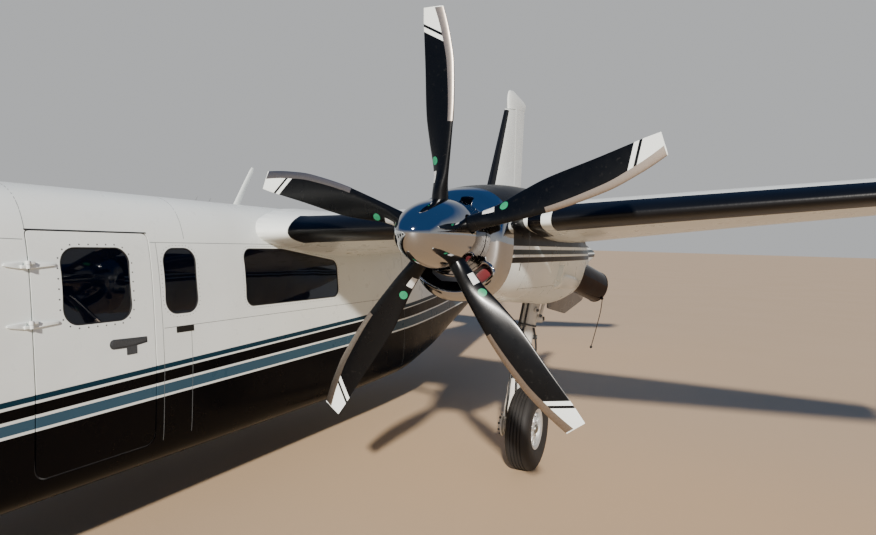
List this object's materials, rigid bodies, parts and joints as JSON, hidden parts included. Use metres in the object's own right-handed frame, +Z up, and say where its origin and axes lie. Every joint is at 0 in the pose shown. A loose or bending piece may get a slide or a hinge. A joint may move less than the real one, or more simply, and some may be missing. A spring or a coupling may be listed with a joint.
{
  "type": "twin turboprop aircraft",
  "caption": "High-wing twin turboprop business aircraft on tricycle gear, with turning propellers and wheels, nose steering, cabin door, flaps, ailerons, elevators and rudder.",
  "frame": {"origin": "on the ground below the middle of the overall box", "axes": "the nose points along -Y, the left wing along +X, +Z is up"},
  "size_m": [14.22, 13.52, 4.56],
  "materials": {
    "white_paint": "gloss",
    "tinted_glass": "polished",
    "cabin_lining": "matte",
    "seat_leather": "matte",
    "polished_metal": "polished",
    "engine_metal": "satin",
    "exhaust_steel": "polished, heat tinted",
    "blade_paint": "satin black",
    "leg_paint": "gloss",
    "grey_paint": "satin",
    "tyre_rubber": "matte",
    "wheel_alloy": "satin"
  },
  "bodies": {
    "airframe": {"fuselage_nose": "white_paint", "fuselage_cabin": "white_paint", "fuselage_tail": "white_paint", "window_middle_left": "tinted_glass", "window_rear_left": "tinted_glass", "window_cockpit_left": "tinted_glass", "windscreen_left": "tinted_glass", "window_forward_right": "tinted_glass", "window_middle_right": "tinted_glass", "window_rear_right": "tinted_glass", "window_cockpit_right": "tinted_glass", "windscreen_right": "tinted_glass", "cabin_interior": "cabin_lining", "seat_pilot": "seat_leather", "seat_copilot": "seat_leather", "seats_middle": "seat_leather", "seats_rear": "seat_leather", "wing_left": "white_paint", "wing_right": "white_paint", "fin": "white_paint", "tailplane_left": "white_paint", "tailplane_right": "white_paint", "nacelle_left": "white_paint", "cowl_ring_left": "polished_metal", "engine_left": "engine_metal", "exhaust_left": "exhaust_steel", "nacelle_right": "white_paint", "cowl_ring_right": "polished_metal", "engine_right": "engine_metal", "exhaust_right": "exhaust_steel", "main_leg_left": "leg_paint", "gear_door_left": "grey_paint", "main_leg_right": "leg_paint", "gear_door_right": "grey_paint", "nose_leg": "leg_paint", "nose_door_left": "white_paint", "nose_door_right": "white_paint"},
    "propeller_left": {"propeller_left": "blade_paint", "spinner_left": "polished_metal"},
    "wheel_left": {"wheel_left": "wheel_alloy", "tyre_left": "tyre_rubber"},
    "flap_inner_left": {"flap_inner_left": "white_paint"},
    "flap_outer_left": {"flap_outer_left": "white_paint"},
    "aileron_left": {"aileron_left": "white_paint"},
    "elevator_left": {"elevator_left": "white_paint"},
    "propeller_right": {"propeller_right": "blade_paint", "spinner_right": "polished_metal"},
    "wheel_right": {"wheel_right": "wheel_alloy", "tyre_right": "tyre_rubber"},
    "flap_inner_right": {"flap_inner_right": "white_paint"},
    "flap_outer_right": {"flap_outer_right": "white_paint"},
    "aileron_right": {"aileron_right": "white_paint"},
    "elevator_right": {"elevator_right": "white_paint"},
    "rudder": {"rudder": "white_paint"},
    "cabin_door": {"cabin_door": "white_paint", "window_door": "tinted_glass"},
    "nose_fork": {"nose_fork": "leg_paint"},
    "nose_wheel": {"wheel_nose": "wheel_alloy", "tyre_nose": "tyre_rubber"}
  },
  "joints": [
    {"name": "propeller_left_spin", "type": "hinge", "parent": "airframe", "child": "propeller_left", "pos_m": [2.3, -2.14, 1.827], "axis": [0, 1, 0], "continuous": true},
    {"name": "propeller_right_spin", "type": "hinge", "parent": "airframe", "child": "propeller_right", "pos_m": [-2.3, -2.14, 1.827], "axis": [0, 1, 0], "continuous": true},
    {"name": "wheel_left_spin", "type": "hinge", "parent": "airframe", "child": "wheel_left", "pos_m": [2.338, -0.44, 0.325], "axis": [1, 0, 0], "continuous": true},
    {"name": "wheel_right_spin", "type": "hinge", "parent": "airframe", "child": "wheel_right", "pos_m": [-2.338, -0.44, 0.325], "axis": [1, 0, 0], "continuous": true},
    {"name": "nose_steering", "type": "hinge", "parent": "airframe", "child": "nose_fork", "pos_m": [0, -5.94, 0.5], "axis": [0, 0, 1], "range_deg": [-40, 40]},
    {"name": "nose_wheel_spin", "type": "hinge", "parent": "nose_fork", "child": "nose_wheel", "pos_m": [0, -5.88, 0.222], "axis": [1, 0, 0], "continuous": true},
    {"name": "cabin_door_swing", "type": "hinge", "parent": "airframe", "child": "cabin_door", "pos_m": [0.7552, -3.419, 1.173], "axis": [0.0995, 0, -0.995], "range_deg": [0, 90]},
    {"name": "flap_inner_left_swing", "type": "hinge", "parent": "airframe", "child": "flap_inner_left", "pos_m": [1.415, 0.06495, 1.80768], "axis": [-0.9818, 0.1849, -0.0434], "range_deg": [0, 40]},
    {"name": "flap_outer_left_swing", "type": "hinge", "parent": "airframe", "child": "flap_outer_left", "pos_m": [3.64, -0.35297, 1.98533], "axis": [-0.978, 0.1835, -0.0992], "range_deg": [0, 40]},
    {"name": "flap_inner_right_swing", "type": "hinge", "parent": "airframe", "child": "flap_inner_right", "pos_m": [-1.415, 0.06495, 1.80768], "axis": [-0.9818, -0.1849, 0.0434], "range_deg": [0, 40]},
    {"name": "flap_outer_right_swing", "type": "hinge", "parent": "airframe", "child": "flap_outer_right", "pos_m": [-3.64, -0.35297, 1.98533], "axis": [-0.978, -0.1835, 0.0992], "range_deg": [0, 40]},
    {"name": "aileron_left_swing", "type": "hinge", "parent": "airframe", "child": "aileron_left", "pos_m": [5.725, -0.72074, 2.18372], "axis": [-0.9779, 0.189, -0.0892], "range_deg": [-20, 20]},
    {"name": "aileron_right_swing", "type": "hinge", "parent": "airframe", "child": "aileron_right", "pos_m": [-5.725, -0.72074, 2.18372], "axis": [-0.9779, -0.189, 0.0892], "range_deg": [-20, 20]},
    {"name": "elevator_left_swing", "type": "hinge", "parent": "airframe", "child": "elevator_left", "pos_m": [1.589, 5.56836, 2.00047], "axis": [-0.9848, -0.0085, -0.1736], "range_deg": [-25, 15]},
    {"name": "elevator_right_swing", "type": "hinge", "parent": "airframe", "child": "elevator_right", "pos_m": [-1.589, 5.56836, 2.00047], "axis": [-0.9848, 0.0085, 0.1736], "range_deg": [-25, 15]},
    {"name": "rudder_swing", "type": "hinge", "parent": "airframe", "child": "rudder", "pos_m": [0, 5.92, 3], "axis": [0, 0, 1], "range_deg": [-25, 25]}
  ],
  "couplings": [
    {"joint": "aileron_right_swing", "follows": "aileron_left_swing", "ratio": -1},
    {"joint": "elevator_right_swing", "follows": "elevator_left_swing", "ratio": 1},
    {"joint": "flap_outer_left_swing", "follows": "flap_inner_left_swing", "ratio": 1},
    {"joint": "flap_inner_right_swing", "follows": "flap_inner_left_swing", "ratio": 1},
    {"joint": "flap_outer_right_swing", "follows": "flap_inner_left_swing", "ratio": 1}
  ]
}
